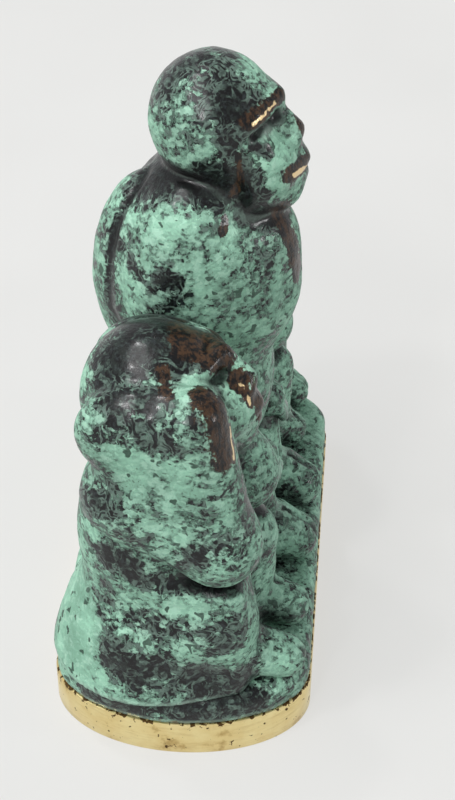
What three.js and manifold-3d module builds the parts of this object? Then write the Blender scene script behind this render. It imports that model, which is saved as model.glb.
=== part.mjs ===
// Three wise monkeys: cast bronze figures on a plinth with a polished brass foot.
// Millimetres, +Z up, the row of figures along X, every face towards -Y.
import * as THREE from "three";
import { mergeVertices } from "three/addons/utils/BufferGeometryUtils.js";
import ManifoldModule from "manifold-3d";

// Sizes that drive everything else
const hearFigure = { width: 25.4, depth: 34, height: 50.5 };
const seeFigure = { width: 24.2, depth: 31.6, height: 74.2 };
const speakFigure = { width: 25.4, depth: 31.6, height: 50.5 };
const interlock = 0.7;
const endOverlap = 0.2;
const frontMargin = 0.5;
const plateHeight = 5.5;
const plinthHeight = 4;
const endBow = 11;
const skinStep = 1.65;

// Fixings: M3 screws, washers and 2 mm dowels, with their clearances
const screw = { radius: 1.5, length: 12, headRadius: 2.75, headHeight: 2, slotWidth: 0.8, slotDepth: 0.9 };
const washer = { inner: 1.7, outer: 3.5, height: 0.5 };
const dowel = { radius: 1, length: 8 };
const clearance = 0.25;
const screwPlace = -1;
const dowelPlace = 6.5;

// The felt and the pocket it lies in
const padHeight = 1.2;
const pocketInset = 3.5;
const padGap = 0.3;

// Sizes that follow
const rowLength = hearFigure.width + seeFigure.width + speakFigure.width - 2 * interlock;
const baseLength = rowLength - 2 * endOverlap;
const hearPlace = (hearFigure.width - rowLength) / 2;
const seePlace = hearPlace + (hearFigure.width + seeFigure.width) / 2 - interlock;
const speakPlace = (rowLength - speakFigure.width) / 2;
const baseDepth = Math.max(hearFigure.depth, seeFigure.depth, speakFigure.depth) + 2 * frontMargin;
const plinthTop = plateHeight + plinthHeight;
const headFloor = padHeight + 0.2;
const washerFloor = headFloor + screw.headHeight;
const boreFloor = washerFloor + washer.height;
const dowelFloor = plateHeight - 2;

const kernel = await ManifoldModule();
kernel.setup();

// Materials
const metal = (color, roughness) => new THREE.MeshStandardMaterial({ color, roughness, metalness: 1 });
const patina = new THREE.MeshStandardMaterial({ color: 0x5f9a80, roughness: 0.45, metalness: 0.3 });
const brass = metal(0xcdb060, 0.3);
const steel = metal(0xb8bcc0, 0.35);
const felt = new THREE.MeshStandardMaterial({ color: 0x22392e, roughness: 1, metalness: 0 });

// Solids and back: three.js makes the shapes, the kernel only joins and cuts them
function solid(geometry) {
  const bare = geometry.clone();
  bare.deleteAttribute("normal");
  bare.deleteAttribute("uv");
  const merged = mergeVertices(bare, 1e-4);
  return new kernel.Manifold(new kernel.Mesh({
    numProp: 3,
    vertProperties: Float32Array.from(merged.attributes.position.array),
    triVerts: Uint32Array.from(merged.index.array),
  }));
}

function geometryOf(body) {
  const mesh = body.getMesh();
  const geometry = new THREE.BufferGeometry();
  geometry.setAttribute("position", new THREE.BufferAttribute(Float32Array.from(mesh.vertProperties), 3));
  geometry.setIndex(new THREE.BufferAttribute(Uint32Array.from(mesh.triVerts), 1));
  geometry.computeVertexNormals();
  return geometry;
}

// Turned shapes stand on Z
function turned(profile, segments = 28) {
  const points = profile.map(([radius, z]) => new THREE.Vector2(radius, z));
  return new THREE.LatheGeometry(points, segments).rotateX(Math.PI / 2);
}

function pin(radius, bottom, top, x, y) {
  return turned([[0, bottom], [radius, bottom], [radius, top], [0, top]]).translate(x, y, 0);
}

// Slab with straight sides and bowed ends, built up from outlines at [inset, height]
function slab(levels, pointsPerQuarter = 14) {
  const positions = [];
  const faces = [];
  const around = 4 * Math.round(pointsPerQuarter);
  const straight = baseLength / 2 - endBow;
  for (const [inset, z] of levels) {
    for (let i = 0; i < around; i++) {
      const turn = (i + 0.5) / around * 2 * Math.PI;
      const end = Math.sign(Math.cos(turn)) * straight;
      positions.push(end + (endBow - inset) * Math.cos(turn), (baseDepth / 2 - inset) * Math.sin(turn), z);
    }
  }
  for (let level = 0; level + 1 < levels.length; level++) {
    for (let i = 0; i < around; i++) {
      const a = level * around + i;
      const b = level * around + (i + 1) % around;
      faces.push(a, b, b + around, a, b + around, a + around);
    }
  }
  const last = (levels.length - 1) * around;
  for (let i = 1; i + 1 < around; i++) {
    faces.push(0, i + 1, i);
    faces.push(last, last + i, last + i + 1);
  }
  const geometry = new THREE.BufferGeometry();
  geometry.setAttribute("position", new THREE.Float32BufferAttribute(positions, 3));
  geometry.setIndex(faces);
  return geometry;
}

// Outlines of an edge rounded over by the given radius, below the height it ends at
function roundedOver(radius, top, steps = 4) {
  const levels = [];
  for (let i = 0; i <= steps; i++) {
    const turn = i / steps * Math.PI / 2;
    levels.push([radius * (1 - Math.cos(turn)), top - radius * (1 - Math.sin(turn))]);
  }
  return levels;
}

// Modelling forms: each gives the distance of a point from its surface, negative inside
const ball = (centre, radii) => (x, y, z) => {
  const [a, b, c] = [x - centre[0], y - centre[1], z - centre[2]];
  const near = Math.hypot(a / radii[0], b / radii[1], c / radii[2]);
  const slope = Math.hypot(a / radii[0] ** 2, b / radii[1] ** 2, c / radii[2] ** 2);
  return slope < 1e-9 ? -Math.min(...radii) : near * (near - 1) / slope;
};

const limb = (start, end, startRadius, endRadius) => {
  const run = end.map((value, i) => value - start[i]);
  const square = run[0] ** 2 + run[1] ** 2 + run[2] ** 2;
  return (x, y, z) => {
    const [a, b, c] = [x - start[0], y - start[1], z - start[2]];
    const along = THREE.MathUtils.clamp((a * run[0] + b * run[1] + c * run[2]) / square, 0, 1);
    const away = Math.hypot(a - along * run[0], b - along * run[1], c - along * run[2]);
    return away - THREE.MathUtils.lerp(startRadius, endRadius, along);
  };
};

// Both sides of a form that is given for one side
const pair = (form) => (x, y, z) => form(Math.abs(x), y, z);

// Forms joined one after another, each running into the rest with its own fillet
function blended(steps) {
  return (x, y, z) => steps.reduce((joined, [fillet, form]) => {
    const distance = form(x, y, z);
    const overlap = Math.max(fillet - Math.abs(joined - distance), 0) / fillet;
    return Math.min(joined, distance) - overlap * overlap * fillet / 4;
  }, 1e3);
}

// Skin over a form above z = 0: one point in each grid cell that the surface crosses
function skin(form, box, step) {
  const counts = box.min.map((low, axis) => Math.ceil((box.max[axis] - low) / step) + 3);
  const first = [box.min[0] - step, box.min[1] - step, -step / 2];
  const place = (axis, i) => first[axis] + i * step;
  const at = (i, j, k) => (k * counts[1] + j) * counts[0] + i;
  const values = new Float64Array(counts[0] * counts[1] * counts[2]);
  for (let k = 0; k < counts[2]; k++) {
    for (let j = 0; j < counts[1]; j++) {
      for (let i = 0; i < counts[0]; i++) {
        values[at(i, j, k)] = k === 0 ? step : form(place(0, i), place(1, j), place(2, k));
      }
    }
  }
  fillPinches(values, counts, at);

  const pointOf = new Map();
  const positions = [];
  for (let k = 0; k + 1 < counts[2]; k++) {
    for (let j = 0; j + 1 < counts[1]; j++) {
      for (let i = 0; i + 1 < counts[0]; i++) {
        const point = cellPoint(values, (a, b, c) => at(i + a, j + b, k + c), k === 0);
        if (!point) continue;
        const placed = [i, j, k].map((cell, axis) => place(axis, cell + point[axis]));
        if (k === 0) placed[2] = 0;
        pointOf.set(at(i, j, k), positions.length / 3);
        positions.push(...(k === 0 ? placed : settled(form, placed)));
      }
    }
  }

  // A quad round every grid edge that the surface crosses
  const faces = [];
  const stride = [at(1, 0, 0), at(0, 1, 0), at(0, 0, 1)];
  for (let k = 0; k + 1 < counts[2]; k++) {
    for (let j = 0; j + 1 < counts[1]; j++) {
      for (let i = 0; i + 1 < counts[0]; i++) {
        const here = at(i, j, k);
        for (const axis of [0, 1, 2]) {
          const inside = values[here] < 0;
          if (inside === values[here + stride[axis]] < 0) continue;
          const side = stride[(axis + 1) % 3];
          const down = stride[(axis + 2) % 3];
          const ring = [here, here - side, here - side - down, here - down].map((cell) => pointOf.get(cell));
          if (!inside) ring.reverse();
          faces.push(ring[0], ring[1], ring[2], ring[0], ring[2], ring[3]);
        }
      }
    }
  }
  const geometry = new THREE.BufferGeometry();
  geometry.setAttribute("position", new THREE.Float32BufferAttribute(positions, 3));
  geometry.setIndex(faces);
  return geometry;
}

// Mean of the places where the surface crosses a cell's edges; in the bottom layer the outline comes first
function cellPoint(values, corner, bottom) {
  const level = { sum: [0, 0, 0], count: 0 };
  const upright = { sum: [0, 0, 0], count: 0 };
  for (let bits = 0; bits < 8; bits++) {
    const from = [bits & 1, bits >> 1 & 1, bits >> 2];
    for (const axis of [0, 1, 2]) {
      if (from[axis]) continue;
      const to = from.map((value, other) => other === axis ? 1 : value);
      const start = values[corner(...from)];
      const end = values[corner(...to)];
      if (start < 0 === end < 0) continue;
      const crossings = bottom && axis === 2 ? upright : level;
      for (const each of [0, 1, 2]) crossings.sum[each] += from[each];
      crossings.sum[axis] += start / (start - end);
      crossings.count++;
    }
  }
  const chosen = level.count ? level : upright;
  return chosen.count ? chosen.sum.map((value) => value / chosen.count) : null;
}

// A point drawn onto the surface along its slope
function settled(form, point) {
  const reach = 0.05;
  const distance = form(...point);
  const slope = [0, 1, 2].map((axis) => {
    const beside = point.map((value, other) => value + (other === axis ? reach : 0));
    return (form(...beside) - distance) / reach;
  });
  const steep = Math.max(slope[0] ** 2 + slope[1] ** 2 + slope[2] ** 2, 0.25);
  const move = THREE.MathUtils.clamp(distance / steep, -0.6, 0.6);
  return point.map((value, axis) => value - move * slope[axis]);
}

// Where two parts of a form meet only across a diagonal, the cell between them is filled
function fillPinches(values, counts, at) {
  const stride = [at(1, 0, 0), at(0, 1, 0), at(0, 0, 1)];
  let filled = true;
  while (filled) {
    filled = false;
    for (let k = 1; k + 1 < counts[2]; k++) {
      for (let j = 0; j + 1 < counts[1]; j++) {
        for (let i = 0; i + 1 < counts[0]; i++) {
          const here = at(i, j, k);
          for (const axis of [0, 1, 2]) {
            const side = here + stride[axis];
            const down = here + stride[(axis + 1) % 3];
            const across = side + stride[(axis + 1) % 3];
            const inside = [here, side, down, across].map((corner) => values[corner] < 0);
            if (inside[0] !== inside[3] || inside[1] !== inside[2] || inside[0] === inside[1]) continue;
            for (const corner of [here, side, down, across]) values[corner] = Math.min(values[corner], -0.1);
            filled = true;
          }
        }
      }
    }
  }
}

// Muzzle, cheeks, nose, lips, chin and brow of a face
function face(muzzle, size, brow, browHalf) {
  const at = (x, y, z) => [x * size, muzzle[1] + y * size, muzzle[2] + z * size];
  const scaled = (...radii) => radii.map((radius) => radius * size);
  const [browY, browZ] = brow;
  return [
    [1.6, ball(muzzle, scaled(5.1, 5, 5.7))],
    [2, pair(ball(at(3.4, 2.6, 0.4), scaled(4, 5.4, 5.6)))],
    [1.2, limb(at(0, -0.8, 7.2), at(0, -3, 4.7), 1.3 * size, 1.55 * size)],
    [0.8, pair(ball(at(1.3, -3, 4), scaled(1.1, 1.2, 1)))],
    [0.9, pair(limb(at(0, -4.4, 1), at(3.4, -2.9, 0.5), 0.9 * size, 0.6 * size))],
    [0.9, pair(limb(at(0, -4.1, -1.2), at(3.1, -2.7, -1.1), 0.9 * size, 0.55 * size))],
    [1.6, ball(at(0, -2, -3.4), scaled(3.2, 2.4, 2.3))],
    [1.4, pair(limb([0, browY, browZ], [browHalf, browY + 2.9, browZ - 1.2], 1.15 * size, 0.95 * size))],
  ];
}

// Thick foot that slopes to its toes
const foot = (x, instep, toe, height) => pair(limb(
  [x, instep, 0.5 * height],
  [x - 0.2, toe + 0.42 * height, 0.36 * height],
  0.5 * height,
  0.42 * height,
));

// Seated small figure: the side that is inward, the places of its head, muzzle and toes, and its arms
function smallForms(inner, headY, headDepth, muzzleY, toe, arms) {
  const shoulders = [
    [1, pair(limb([6.6, 6.2, 30.4], [7.4, -5.4, 23.8], 5.2, 5))],
    [2, ball([inner * 6.6, -7.4, 23.6], [4.4, 4.6, 4.6])],
    [3, ball([0, 5.2, 29.8], [10.6, 6.2, 6.6])],
  ];
  return [
    [1, ball([0, 3.6, 3], [12.1, 12.8, 13])],
    [5, ball([0, 3.4, -1], [12.2, 13.4, 6])],
    [4, ball([0, 3.6, 20], [9.6, 9.8, 16])],
    [2, pair(limb([5.4, 4.6, 7], [6.2, -4.4, 10.2], 6.4, 5.7))],
    [1.5, pair(limb([6, -5.2, 9.8], [5.4, -7.2, 3], 4.7, 3.9))],
    [2, limb([inner * 5.6, -8, 14.5], [inner * 5.2, -8.2, 5], 4.2, 3.4)],
    [1.2, foot(5, -9.6, toe, 7)],
    [2, ball([0, headY, 41.2], [8.4, headDepth, 9.4])],
    ...face([0, muzzleY, 39.6], 0.95, [muzzleY, 47.8], 4.8),
    [1.1, blended([...shoulders, ...arms])],
  ];
}

// Hands over the ears
const hearForms = smallForms(1, 2.8, 9.2, -5.2, -16.8, [
  [3, limb([7.4, -5.6, 25], [7.4, -1.6, 41], 4.6, 3.8)],
  [3, limb([-7.4, -5.6, 25], [-7.8, -2.6, 43.4], 4.6, 4.2)],
  [3, pair(ball([6.6, 0.4, 33.5], [5.4, 6.6, 6.6]))],
  [2.5, pair(ball([7, 3.6, 40.4], [4.6, 8, 6.8]))],
]);

// Hands over the mouth
const speakForms = smallForms(-1, 1.8, 8.2, -4.2, -14.4, [
  [2, pair(limb([7.2, -6.2, 24.6], [3.4, -7.4, 33.4], 4.2, 3))],
  [0.9, pair(ball([2.6, -8, 35.4], [3, 2.4, 3.8]))],
  [0.5, pair(limb([3.9, -9.1, 34.8], [0.9, -9.6, 36.5], 1.1, 0.9))],
]);

// Tall figure with its hands on its knees
const seeForms = [
  [1, ball([0, 3, 6.5], [11.6, 11.8, 11.5])],
  [4, ball([0, 0.4, 28], [10, 10.6, 17])],
  [3, ball([0, -1.2, 42.5], [10.4, 12.4, 12])],
  [3, ball([0, -4.8, 49], [8.6, 8.2, 7.6])],
  [2, ball([0, 4.4, 43.5], [9.4, 9.5, 15])],
  [3, pair(ball([6.2, 0.4, 49.5], [5.9, 7.6, 10.2]))],
  [4, pair(limb([7.4, 2.6, 46], [8.1, 3.4, 31], 4.4, 3.7))],
  [2, ball([0, 0, 55.4], [8.7, 6.6, 6.2])],
  [0.9, ball([0, -2, 66], [8.2, 8, 8.4])],
  ...face([0, -8.8, 60], 1, [-9.7, 69.3], 5.8),
  [1.5, pair(limb([8.2, 3.6, 31], [7, -7.2, 18.6], 3.6, 2.9))],
  [0.9, pair(ball([6.8, -8.2, 17.8], [3.2, 3.4, 2.8]))],
  [0.5, pair(limb([6.8, -8.9, 19.3], [6.8, -11.3, 15.6], 1.4, 1.1))],
  [1.6, pair(limb([5.4, 4, 8.5], [6.2, -5.6, 12.6], 5.9, 4.6))],
  [1.4, pair(limb([6.2, -6.6, 12], [5.4, -8.4, 3.2], 4.2, 3.6))],
  [1.2, foot(6, -11, -17.3, 8.4)],
];

// A figure scaled about its place in the row to its width, depth and height
function figure(forms, size, x) {
  const box = { min: [-14, -19, 0], max: [14, 19, 76] };
  const geometry = skin(blended(forms), box, skinStep);
  geometry.computeBoundingBox();
  const { min, max } = geometry.boundingBox;
  geometry.scale(size.width / (max.x - min.x), size.depth / (max.y - min.y), size.height / max.z);
  geometry.translate(x, 0, plinthTop);
  const screwHole = pin(screw.radius + clearance, plinthTop - 1, washerFloor + screw.length + 1, x, screwPlace);
  const dowelHole = pin(dowel.radius + clearance, plinthTop - 1, dowelFloor + dowel.length + 0.5, x, dowelPlace);
  return geometryOf(solid(geometry).subtract(solid(screwHole)).subtract(solid(dowelHole)));
}

// Screw with a slotted head, standing in its counterbore
function fixingScrew(x) {
  const profile = [
    [0, headFloor],
    [screw.headRadius, headFloor],
    [screw.headRadius, washerFloor],
    [screw.radius, washerFloor],
    [screw.radius, washerFloor + screw.length - 0.5],
    [screw.radius - 0.5, washerFloor + screw.length],
    [0, washerFloor + screw.length],
  ];
  const slot = new THREE.BoxGeometry(4 * screw.headRadius, screw.slotWidth, 2 * screw.slotDepth);
  slot.translate(0, 0, headFloor);
  const body = solid(turned(profile)).subtract(solid(slot));
  return geometryOf(body).translate(x, screwPlace, 0);
}

function fixingWasher(x) {
  const profile = [
    [washer.inner, washerFloor],
    [washer.outer, washerFloor],
    [washer.outer, boreFloor],
    [washer.inner, boreFloor],
    [washer.inner, washerFloor],
  ];
  return turned(profile).translate(x, screwPlace, 0);
}

// Foot: pocket for the felt, counterbores for the screws, blind holes for the dowels
function basePlate(places) {
  let body = solid(slab([[0.3, 0], [0, 0.3], [0, plateHeight]]));
  body = body.subtract(solid(slab([[pocketInset, -1], [pocketInset, padHeight]])));
  for (const x of places) {
    const counterbore = pin(washer.outer + clearance, padHeight - 1, boreFloor, x, screwPlace);
    const screwHole = pin(screw.radius + clearance, boreFloor - 1, plateHeight + 1, x, screwPlace);
    const dowelHole = pin(dowel.radius + clearance, dowelFloor, plateHeight + 1, x, dowelPlace);
    body = body.subtract(solid(counterbore)).subtract(solid(screwHole)).subtract(solid(dowelHole));
  }
  return geometryOf(body);
}

function plinthBody(places) {
  const over = roundedOver(2, plinthTop).map(([inset, z]) => [inset + 0.2, z]);
  let body = solid(slab([[0.2, plateHeight], ...over]));
  for (const x of places) {
    const screwHole = pin(screw.radius + clearance, plateHeight - 1, plinthTop + 1, x, screwPlace);
    const dowelHole = pin(dowel.radius + clearance, plateHeight - 1, plinthTop + 1, x, dowelPlace);
    body = body.subtract(solid(screwHole)).subtract(solid(dowelHole));
  }
  return geometryOf(body);
}

const group = new THREE.Group();
group.name = "three_wise_monkeys";

function add(name, geometry, material) {
  const mesh = new THREE.Mesh(geometry, material);
  mesh.name = name;
  group.add(mesh);
}

const row = [
  { name: "hear", forms: hearForms, size: hearFigure, x: hearPlace },
  { name: "see", forms: seeForms, size: seeFigure, x: seePlace },
  { name: "speak", forms: speakForms, size: speakFigure, x: speakPlace },
];
const places = row.map((entry) => entry.x);

add("base_plate", basePlate(places), brass);
add("plinth", plinthBody(places), patina);
add("felt_pad", slab([[pocketInset + padGap, 0], [pocketInset + padGap, padHeight]]), felt);
for (const { name, forms, size, x } of row) {
  add(`figure_${name}`, figure(forms, size, x), patina);
  add(`screw_${name}`, fixingScrew(x), steel);
  add(`washer_${name}`, fixingWasher(x), steel);
  add(`dowel_${name}`, pin(dowel.radius, dowelFloor, dowelFloor + dowel.length, x, dowelPlace), steel);
}

export default group;
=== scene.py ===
"""Three wise monkeys: patinated bronze figures on a plinth with a polished brass foot."""
import functools
import math

import bmesh
import bpy
import numpy as np
from mathutils import Matrix, Vector, noise


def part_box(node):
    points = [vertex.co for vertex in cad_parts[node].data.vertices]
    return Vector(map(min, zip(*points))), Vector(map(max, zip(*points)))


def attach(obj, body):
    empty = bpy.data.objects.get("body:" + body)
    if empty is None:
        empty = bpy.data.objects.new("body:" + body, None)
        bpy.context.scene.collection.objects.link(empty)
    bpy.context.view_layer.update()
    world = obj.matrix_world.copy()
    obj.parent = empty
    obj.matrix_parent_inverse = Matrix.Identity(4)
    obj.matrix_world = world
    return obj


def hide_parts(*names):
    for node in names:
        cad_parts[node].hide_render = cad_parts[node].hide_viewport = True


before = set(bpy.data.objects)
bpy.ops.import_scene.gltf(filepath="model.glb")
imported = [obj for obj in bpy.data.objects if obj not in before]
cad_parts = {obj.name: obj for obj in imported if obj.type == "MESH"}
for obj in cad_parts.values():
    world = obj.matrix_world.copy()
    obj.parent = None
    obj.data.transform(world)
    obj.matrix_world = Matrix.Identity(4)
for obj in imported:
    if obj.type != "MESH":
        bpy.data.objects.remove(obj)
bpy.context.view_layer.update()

bl_info = {
    "name": "Three wise monkeys figurine",
    "version": (1, 0, 0),
    "blender": (4, 5, 0),
    "location": "3D View > Sidebar > Figurine",
    "description": "Builds a patinated bronze figurine on a brass foot around its CAD frame",
    "category": "Add Mesh",
}

MM = 0.001
FIGURES = ("hear", "see", "speak")
SHARP_EDGE = math.radians(35)

# In millimetres: how far a figure is let into the plinth, and how far round a point hollows and ridges are
# felt, for darker patina and painted shade in hollows, and for wear and a painted light rim on ridges
SUNK = 0.2
HOLLOW_REACHES = (1.2, 2.4, 4.5)
RIDGE_REACHES = (0.8, 1.6)


# Places taken from the frame

def cad_box(node):
    """Lowest and highest corner of a CAD node, in millimetres."""
    low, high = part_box(node)
    return np.array(low) / MM, np.array(high) / MM


PLATE_LOW, PLATE_HIGH = cad_box("base_plate")
PLINTH_LOW, PLINTH_HIGH = cad_box("plinth")
PAD_LOW, PAD_HIGH = cad_box("felt_pad")
PLINTH_TOP = PLINTH_HIGH[2]


# Sizes and colours that a user may change

class FigurineSizes(bpy.types.PropertyGroup):
    """Sizes of the sculpted surfaces."""
    skin_step: bpy.props.FloatProperty(
        name="Skin step", description="Grid spacing of the sculpted skin",
        default=0.45 * MM, min=0.2 * MM, subtype="DISTANCE", unit="LENGTH", precision=5)
    relief: bpy.props.FloatProperty(
        name="Cast relief", description="Height of the soft lumps left by casting",
        default=0.12 * MM, min=0.0, subtype="DISTANCE", unit="LENGTH", precision=5)
    end_bow: bpy.props.FloatProperty(
        name="End bow", description="How far each end of the foot bows out",
        default=11 * MM, min=1 * MM, subtype="DISTANCE", unit="LENGTH", precision=4)
    edge_round: bpy.props.FloatProperty(
        name="Plinth edge", description="Radius along the plinth's top edge",
        default=1.8 * MM, min=0.1 * MM, subtype="DISTANCE", unit="LENGTH", precision=4)
    foot_chamfer: bpy.props.FloatProperty(
        name="Foot chamfer", description="Broken edge along the brass foot",
        default=0.25 * MM, min=0.0, subtype="DISTANCE", unit="LENGTH", precision=5)


def linear(hex_colour):
    """Linear red, green, blue and alpha of an sRGB hex colour."""
    channels = [int(hex_colour[i:i + 2], 16) / 255 for i in (1, 3, 5)]
    return [c / 12.92 if c <= 0.04045 else ((c + 0.055) / 1.055) ** 2.4 for c in channels] + [1.0]


def colour_property(label, words, hex_colour):
    """A colour setting whose default is written as an sRGB hex value."""
    return bpy.props.FloatVectorProperty(
        name=label, description=words, subtype="COLOR", size=4, min=0.0, max=1.0,
        default=linear(hex_colour))


class FigurineColours(bpy.types.PropertyGroup):
    """Colours of the finishes."""
    verdigris: colour_property("Verdigris", "Green crust of the patina", "#A3D6BB")
    moss: colour_property("Moss", "Deeper green in the patina", "#668D79")
    bloom: colour_property("Bloom", "Palest green, where the crust is thick", "#BBDCCA")
    deep_green: colour_property("Deep green", "Thin crust round the black", "#2F4238")
    bronze_black: colour_property("Black bronze", "Dark oxide between the green", "#0B0B0C")
    slate: colour_property("Slate", "Grey bloom on the dark oxide", "#252B2C")
    lichen: colour_property("Lichen", "Curls of thin crust on the dark oxide", "#6F877B")
    bronze_brown: colour_property("Brown bronze", "Rubbed bronze on raised parts", "#45301F")
    bare_gold: colour_property("Bare bronze", "Bright metal on rubbed edges", "#EBCF9E")
    brass: colour_property("Brass", "Polished foot", "#F0DFA6")
    brass_stain: colour_property("Brass stain", "Dulled places on the foot", "#E2CA8C")
    brass_scratch: colour_property("Brass scratch", "Fine scratches along the foot", "#A5854A")
    brass_pit: colour_property("Brass pit", "Pits near the foot's top", "#5A4428")
    felt: colour_property("Felt", "Pad under the foot", "#22392E")
    felt_fibre: colour_property("Felt fibre", "Loose fibres on the pad", "#35523F")
    zinc: colour_property("Zinc plate", "Screws, washers and dowels", "#B9BDC2")
    zinc_bloom: colour_property("Zinc bloom", "Cloudy bloom on the plating", "#8F949B")
    floor: colour_property("Floor", "Pale paper that it stands on", "#E6E6E4")
    floor_grain: colour_property("Floor grain", "Shade in the paper", "#DEDEDC")
    floor_bounce: colour_property("Floor bounce", "What the paper throws back on the figurine", "#9C9C9A")
    room: colour_property("Room", "Pale walls round it", "#F4F6F8")


# Modelling forms: each gives the distance of points from its surface, negative inside

def ball(centre, radii):
    """Ellipsoid."""
    centre, radii = np.array(centre, float), np.array(radii, float)

    def distance(points):
        q = points - centre
        near = np.linalg.norm(q / radii, axis=1)
        slope = np.linalg.norm(q / radii ** 2, axis=1)
        return near * (near - 1) / np.maximum(slope, 1e-6)
    return distance


def limb(start, end, start_radius, end_radius):
    """Tapered round bar."""
    start, run = np.array(start, float), np.array(end, float) - np.array(start, float)

    def distance(points):
        q = points - start
        along = np.clip(q @ run / (run @ run), 0, 1)
        away = np.linalg.norm(q - along[:, None] * run, axis=1)
        return away - (start_radius + along * (end_radius - start_radius))
    return distance


def block(centre, half, edge):
    """Box with rounded edges."""
    centre, core = np.array(centre, float), np.array(half, float) - edge

    def distance(points):
        q = np.abs(points - centre) - core
        return np.linalg.norm(np.maximum(q, 0), axis=1) + np.minimum(np.max(q, axis=1), 0) - edge
    return distance


def pair(form):
    """The form on both sides of the figure."""
    def distance(points):
        return form(np.abs(points) * (1, 0, 0) + points * (0, 1, 1))
    return distance


def add(fillet, form):
    """Step that joins a form with a fillet."""
    return 1, fillet, form


def cut(fillet, form):
    """Step that carves a form away with a fillet."""
    return -1, fillet, form


def sculpt(steps):
    """All steps of a figure as one distance function."""
    def distance(points):
        total = np.full(len(points), 1e3)
        for sign, fillet, form in steps:
            a, b = sign * total, form(points)
            soft = np.maximum(fillet - np.abs(a - b), 0) / fillet
            total = sign * (np.minimum(a, b) - soft * soft * fillet / 4)
        return total
    return distance


# Parts of a monkey

def face(muzzle, size, brow, brow_half):
    """Muzzle, nose, lips, chin, brows and shut eyes."""
    def at(x, y, z):
        return x * size, muzzle[1] + y * size, muzzle[2] + z * size

    def scaled(*radii):
        return [r * size for r in radii]

    brow_y, brow_z = brow
    return [
        add(1.6, ball(muzzle, scaled(5.1, 5.0, 5.7))),
        add(2.0, pair(ball(at(3.4, 2.6, 0.4), scaled(4.0, 5.4, 5.6)))),
        add(1.2, limb(at(0, -0.8, 7.2), at(0, -3.0, 4.7), 1.3 * size, 1.55 * size)),
        add(0.8, pair(ball(at(1.3, -3.0, 4.0), scaled(1.1, 1.2, 1.0)))),
        cut(0.2, pair(ball(at(0.9, -4.5, 3.7), scaled(0.35, 0.5, 0.3)))),
        add(0.9, pair(limb(at(0, -4.4, 1.0), at(3.4, -2.9, 0.5), 0.9 * size, 0.6 * size))),
        add(0.9, pair(limb(at(0, -4.1, -1.2), at(3.1, -2.7, -1.1), 0.9 * size, 0.55 * size))),
        cut(0.3, pair(limb(at(0, -5.4, -0.1), at(4.2, -2.5, -0.4), 0.24 * size, 0.16 * size))),
        add(1.6, ball(at(0, -2.0, -3.4), scaled(3.2, 2.4, 2.3))),
        add(1.4, pair(limb((0, brow_y, brow_z), (brow_half, brow_y + 2.9, brow_z - 1.2),
                           1.15 * size, 0.95 * size))),
        cut(0.8, pair(limb((1.9, brow_y - 0.1, brow_z - 1.9), (brow_half, brow_y + 2.3, brow_z - 2.6),
                           0.55 * size, 0.45 * size))),
        add(0.5, pair(ball((3.3 * size, brow_y + 1.5, brow_z - 2.8), scaled(1.6, 1.0, 0.85)))),
        cut(0.2, pair(limb((2.0, brow_y + 0.4, brow_z - 3.0), (4.4 * size, brow_y + 1.7, brow_z - 3.3),
                           0.16, 0.14))),
    ]


def groove(points, radius):
    """Rounded channel through points."""
    bars = [limb(start, end, radius, radius) for start, end in zip(points, points[1:])]

    def distance(places):
        return np.min([bar(places) for bar in bars], axis=0)
    return distance


def foot(x, instep, toe, height):
    """Thick foot that slopes to its toes, with channels between them."""
    steps = [add(1.2, pair(limb((x, instep, 0.5 * height), (x - 0.2, toe + 0.42 * height, 0.36 * height),
                                0.5 * height, 0.42 * height)))]
    over_toes = ((0.75, 0.96), (0.42, 0.84), (0.14, 0.68), (0.02, 0.36), (0.1, 0.1))
    for i in range(3):
        across = x + (i - 1) * 0.26 * height
        line = [(across, toe + y * height, z * height) for y, z in over_toes]
        steps.append(cut(0.5, pair(groove(line, 0.3))))
    return steps


def fingers(knuckles, tips, radius):
    """Four fingers side by side, from knuckle line to tip line."""
    steps = []
    for i in range(4):
        share = i / 3
        start = [a + (b - a) * share for a, b in zip(*knuckles)]
        end = [a + (b - a) * share for a, b in zip(*tips)]
        steps.append(add(0.5, pair(limb(start, end, radius, 0.8 * radius))))
    return steps


def small_figure(inner, head_y, head_depth, muzzle_y, toe, arms):
    """Seated small figure: which side is inward, where its head, muzzle and toes are, and its arms."""
    upper_arm = pair(limb((6.6, 6.2, 30.4), (7.4, -5.4, 23.8), 5.2, 5.0))
    inner_elbow = ball((inner * 6.6, -7.4, 23.6), (4.4, 4.6, 4.6))
    back = ball((0, 5.2, 29.8), (10.6, 6.2, 6.6))
    return [
        add(1.0, ball((0, 3.6, 3), (12.1, 12.8, 13.0))),
        add(5.0, ball((0, 3.4, -1), (12.2, 13.4, 6.0))),
        add(4.0, ball((0, 3.6, 20), (9.6, 9.8, 16.0))),
        add(2.0, pair(limb((5.4, 4.6, 7), (6.2, -4.4, 10.2), 6.4, 5.7))),
        add(1.5, pair(limb((6.0, -5.2, 9.8), (5.4, -7.2, 3), 4.7, 3.9))),
        add(2.5, pair(block((5.2, -3.0, 8.6), (5.2, 6.0, 9.4), 1.8))),
        add(2.0, limb((inner * 5.6, -8.0, 14.5), (inner * 5.2, -8.2, 5), 4.2, 3.4)),
        *foot(5.0, -9.6, toe, 7.0),
        add(2.0, ball((0, head_y, 41.2), (8.4, head_depth, 9.4))),
        *face((0, muzzle_y, 39.6), 0.95, (muzzle_y, 47.8), 4.8),
        add(0.7, sculpt([add(1.0, upper_arm), add(2.0, inner_elbow), add(3.0, back), *arms])),
    ]


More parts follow.
